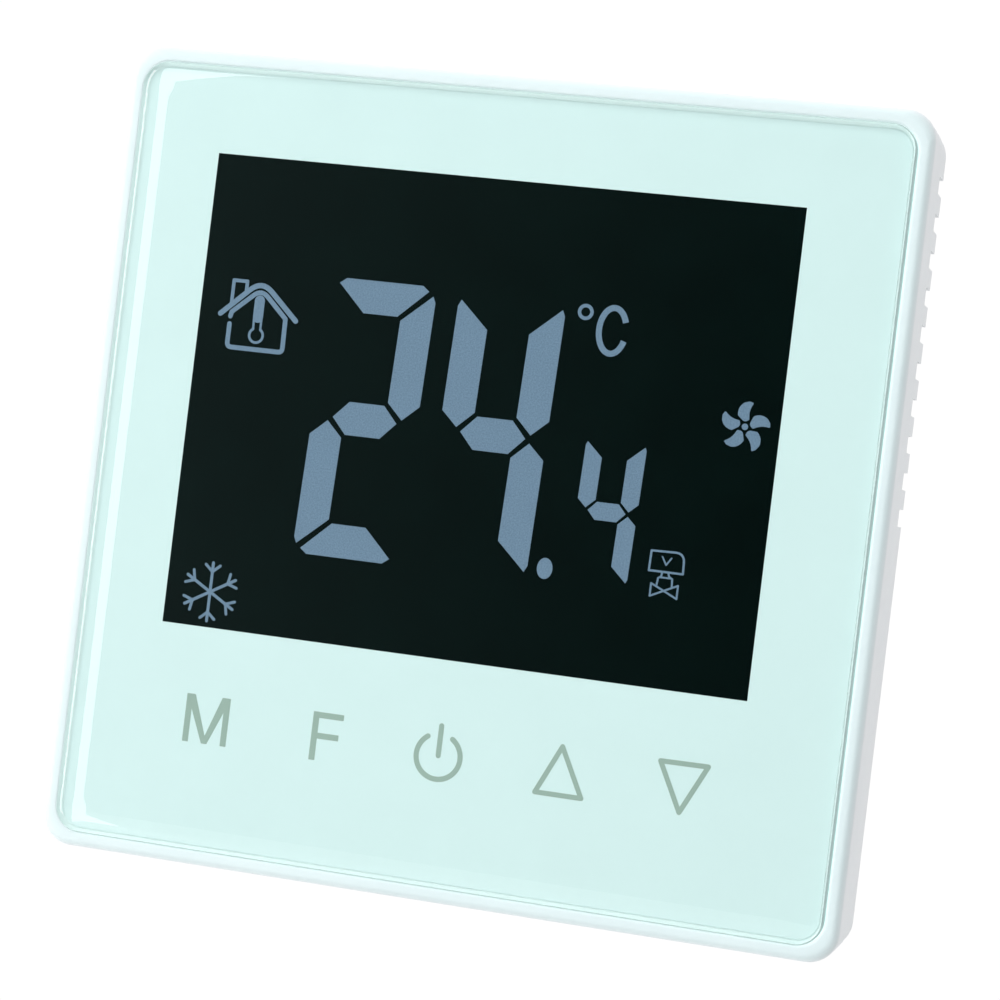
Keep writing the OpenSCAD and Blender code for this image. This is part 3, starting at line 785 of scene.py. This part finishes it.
finishes = {
    "foam_tape": moulded("foam_tape_white", (0.82, 0.83, 0.82), 0.8, grain_mm=0.15, grain_depth=0.02),
    "display_glass": moulded("lcd_glass", (0.012, 0.02, 0.02), 0.12, grain_depth=0.001),
    "tinned_pins": metal("tinned_metal", (0.78, 0.78, 0.79), 0.25),
    "tray_plastic": moulded("tray_white", (0.86, 0.86, 0.85), 0.45),
    "guide_acrylic": moulded("guide_acrylic_clear", (0.80, 0.88, 0.92), 0.1, grain_depth=0.001),
    "led_resin": moulded("led_phosphor", (0.85, 0.78, 0.35), 0.3),
    "circuit_board": printed_board("solder_mask"),
    "screw_steel": metal("zinc_screw", (0.62, 0.64, 0.66), 0.28, grain=(3, 1, 3)),
    "chip_resin": moulded("chip_black", (0.02, 0.02, 0.022), 0.5),
    "sensor_resin": moulded("sensor_bead", (0.05, 0.02, 0.012), 0.2),
    "header_plastic": moulded("header_black", (0.02, 0.02, 0.02), 0.45),
    "gold_pins": metal("gold_pin", (0.85, 0.62, 0.25), 0.22),
    "bracket_steel": plated_sheet("bracket_zinc"),
    "box_plastic": moulded(
        "box_white", (0.84, 0.84, 0.82), 0.55, grain_mm=0.45, grain_depth=0.05, spread=0.025,
    ),
    "relay_case": moulded("relay_black", (0.015, 0.02, 0.03), 0.4),
    "ferrite": moulded("ferrite_grey", (0.06, 0.06, 0.06), 0.7, grain_depth=0.02),
    "winding_tape": moulded("winding_yellow", (0.75, 0.52, 0.06), 0.35),
    "film_case": moulded("film_ochre", (0.65, 0.42, 0.04), 0.35),
    "can_sleeve": moulded("sleeve_blue", (0.01, 0.015, 0.06), 0.3),
    "varistor_coat": moulded("varistor_blue", (0.02, 0.09, 0.32), 0.45),
    "fuse_case": moulded("fuse_brown", (0.22, 0.03, 0.02), 0.35),
    "terminal_plastic": moulded("terminal_green", (0.02, 0.22, 0.09), 0.4),
    "contact_copper": metal("contact_copper", (0.80, 0.45, 0.28), 0.3),
    "clamp_brass": metal("clamp_brass", (0.70, 0.66, 0.52), 0.28),
}

# Nodes that are blocks in the CAD get the small radii of moulded or pressed parts
SOFT_EDGES = {
    "rear_box": 0.4, "filter_capacitor": 0.4,
    "relay_fan_high": 0.3, "relay_fan_medium": 0.3, "relay_fan_low": 0.3, "relay_valve": 0.3,
    "transformer_winding": 0.3, "transformer_core": 0.25, "fuse": 0.2, "bridge_rectifier": 0.2,
    "regulator_chip": 0.15, "insulation_cover": 0.15, "backlight_tray": 0.15,
    "mounting_bracket": 0.12, "terminal_block": 0.12, "driver_chip": 0.1,
    "socket_header": 0.1, "pin_header": 0.1, "microcontroller": 0.08, "memory_chip": 0.08,
}


def soften(obj, radius):
    """Rounds the sharp edges of a piece, by a radius in millimetres."""
    edge = obj.modifiers.new("soft_edges", "BEVEL")
    edge.width = radius * MM
    edge.segments = 2
    edge.limit_method = "ANGLE"
    edge.angle_limit = math.radians(50)


for part in frame["record"]["subparts"]:
    node = nodes[part["node"]]
    if node.hide_render or part["material_slot"] not in finishes:
        continue
    node.data.materials.clear()
    node.data.materials.append(finishes[part["material_slot"]])
    if part["node"] in SOFT_EDGES:
        soften(node, SOFT_EDGES[part["node"]])

# ---------------- small surface parts on the rear of the control board

CHIP_LONG, CHIP_HIGH, CHIP_WIDE = 1.6, 0.45, 0.8

# The metal caps stand proud of the chip's sides and top, and their middles lie CAP_BACK inside its ends
CAP_HALF, CAP_BACK, CAP_PROUD, CAP_RISE = 0.17, 0.14, 0.02, 0.03
CHIP_ROUND = 0.04

# Each place is x, z and whether the chip stands upright
places = [(x, z, 0) for z in (6.6, 21.4) for x in (-22, -19.4, -16.8, -11.2, -8.6, -6)]
places += [(x, z, 1) for x in (7.4, 9.2) for z in (13, 15.6, 18.2)]
places += [((i - 2) * KEY_PITCH + dx, -20.6, 1) for i in range(5) for dx in (-1.6, 0.2)]
places += [(x, -4.2, 0) for x in (-9.4, -6.2, -3, 3, 6.2, 9.4)]
bodies_v, bodies_f, caps_v, caps_f = [], [], [], []
for x, z, upright in places:
    half_x, half_z = (CHIP_WIDE / 2, CHIP_LONG / 2) if upright else (CHIP_LONG / 2, CHIP_WIDE / 2)
    low = (x - half_x, BOARD_BACK_Y, z - half_z)
    high = (x + half_x, BOARD_BACK_Y + CHIP_HIGH, z + half_z)
    box_faces(low, high, bodies_v, bodies_f)
    for end in (-1, 1):
        if upright:
            cap_x, cap_z = x, z + end * (half_z - CAP_BACK)
            wide_x, wide_z = half_x + CAP_PROUD, CAP_HALF
        else:
            cap_x, cap_z = x + end * (half_x - CAP_BACK), z
            wide_x, wide_z = CAP_HALF, half_z + CAP_PROUD
        low = (cap_x - wide_x, BOARD_BACK_Y, cap_z - wide_z)
        high = (cap_x + wide_x, BOARD_BACK_Y + CHIP_HIGH + CAP_RISE, cap_z + wide_z)
        box_faces(low, high, caps_v, caps_f)
for name, vertices, faces, slot, material in (
    ("chip_resistors", bodies_v, bodies_f, "chip_resin", finishes["chip_resin"]),
    ("chip_resistor_caps", caps_v, caps_f, "tinned_pins", finishes["tinned_pins"]),
):
    piece = add_object(name, mesh_from(name, vertices, faces), "front_unit", material, smooth=False)
    soften(piece, CHIP_ROUND)

# ---------------- floor, light and camera

FLOOR_REACH, FLOOR_Z = 1500, -450
corners = [(x * FLOOR_REACH, y * FLOOR_REACH, FLOOR_Z) for x, y in ((-1, -1), (1, -1), (1, 1), (-1, 1))]
floor_mesh = mesh_from("floor", corners, [[0, 1, 2, 3]])
floor = bpy.data.objects.new("floor", floor_mesh)
bpy.context.scene.collection.objects.link(floor)
floor_mat = moulded("floor_pale", (0.86, 0.86, 0.855), 0.9, grain_mm=40, grain_depth=0.1, spread=0.01)
floor_mesh.materials.append(floor_mat)

world = bpy.data.worlds.new("studio")
world.use_nodes = True
bpy.context.scene.world = world
tree = world.node_tree
background = tree.nodes["Background"]
direction = tree.nodes.new("ShaderNodeTexCoord")
axes = tree.nodes.new("ShaderNodeSeparateXYZ")
tree.links.new(direction.outputs["Generated"], axes.inputs["Vector"])


def world_ramp(axis, stops):
    """A grey level for directions along one axis, from stops of (-1 to 1, level)."""
    place = tree.nodes.new("ShaderNodeMapRange")
    place.inputs["From Min"].default_value = -1
    tree.links.new(axes.outputs[axis], place.inputs["Value"])
    levels = tree.nodes.new("ShaderNodeValToRGB")
    elements = levels.color_ramp.elements
    while len(elements) < len(stops):
        elements.new(0.5)
    for element, (position, level) in zip(elements, stops):
        element.position = (position + 1) / 2
        element.color = rgba(level)
    tree.links.new(place.outputs["Result"], levels.inputs["Fac"])
    return levels.outputs["Color"]


# Dark behind the camera, white behind the object, and less light from below and from the right
FRONT_STOPS = ((-0.99, 0.014), (-0.92, (0.16, 0.22, 0.22)), (-0.7, 0.44), (-0.1, 0.78), (0.4, 1.0))
front_to_back = world_ramp("Y", FRONT_STOPS)
down_to_up = world_ramp("Z", ((-1, 0.7), (-0.25, 1.0)))
left_to_right = world_ramp("X", ((0.0, 1.0), (0.5, 0.93), (1, 0.82)))
surroundings = multiply_colours(tree, multiply_colours(tree, front_to_back, down_to_up), left_to_right)
tree.links.new(surroundings, background.inputs["Color"])
background.inputs["Strength"].default_value = 1.02


def at_angle(left_of_front, up, distance):
    """A place at two angles from the straight view of the front, in degrees."""
    a, b = math.radians(left_of_front), math.radians(up)
    level = distance * math.cos(b)
    return Vector((-level * math.sin(a), -level * math.cos(a), distance * math.sin(b)))


def soft_box(name, place, size, power):
    """An area light turned towards the thermostat. Its place and size are in metres, its power in watts."""
    data = bpy.data.lights.new(name, "AREA")
    data.shape = "RECTANGLE"
    data.size, data.size_y = size
    data.energy = power
    obj = bpy.data.objects.new(name, data)
    obj.location = place
    obj.rotation_mode = "QUATERNION"
    obj.rotation_quaternion = (-place).to_track_quat("-Z", "Y")
    bpy.context.scene.collection.objects.link(obj)
    return obj


soft_box("strip_key", at_angle(28.8, 2, 1.0), (0.15, 1.2), 2.3)
soft_box("side_key", at_angle(56, 4, 1.1), (0.24, 1.2), 5.6)
top_key = soft_box("top_key", at_angle(8, 58, 1.1), (1.1, 0.3), 6.4)

# In the photo, the upper edge of the glass mirrors no lamp
top_key.visible_glossy = False

# The camera stands a little to the right and is rolled, so the thermostat leans in the picture
TARGET = Vector((0.31, -1.3, -0.79)) * MM
DISTANCE = 303.7 * MM
AZIMUTH, ELEVATION, ROLL = (math.radians(a) for a in (14.21, 0.14, 6.92))
SENSOR_WIDTH, LENS = 36, 101.88
level = math.cos(ELEVATION)
back = Vector((math.sin(AZIMUTH) * level, -math.cos(AZIMUTH) * level, math.sin(ELEVATION)))
right_axis = Vector((math.cos(AZIMUTH), math.sin(AZIMUTH), 0))
up_axis = back.cross(right_axis)
turn = Matrix((right_axis, up_axis, back)).transposed() @ Matrix.Rotation(ROLL, 3, "Z")
camera = bpy.data.objects.new("camera", bpy.data.cameras.new("camera"))
camera.data.sensor_width = SENSOR_WIDTH
camera.data.lens = LENS
camera.data.clip_start, camera.data.clip_end = 0.01, 50
camera.matrix_world = Matrix.Translation(TARGET + back * DISTANCE) @ turn.to_4x4()
bpy.context.scene.collection.objects.link(camera)
bpy.context.scene.camera = camera
bpy.context.scene.view_settings.view_transform = "Standard"
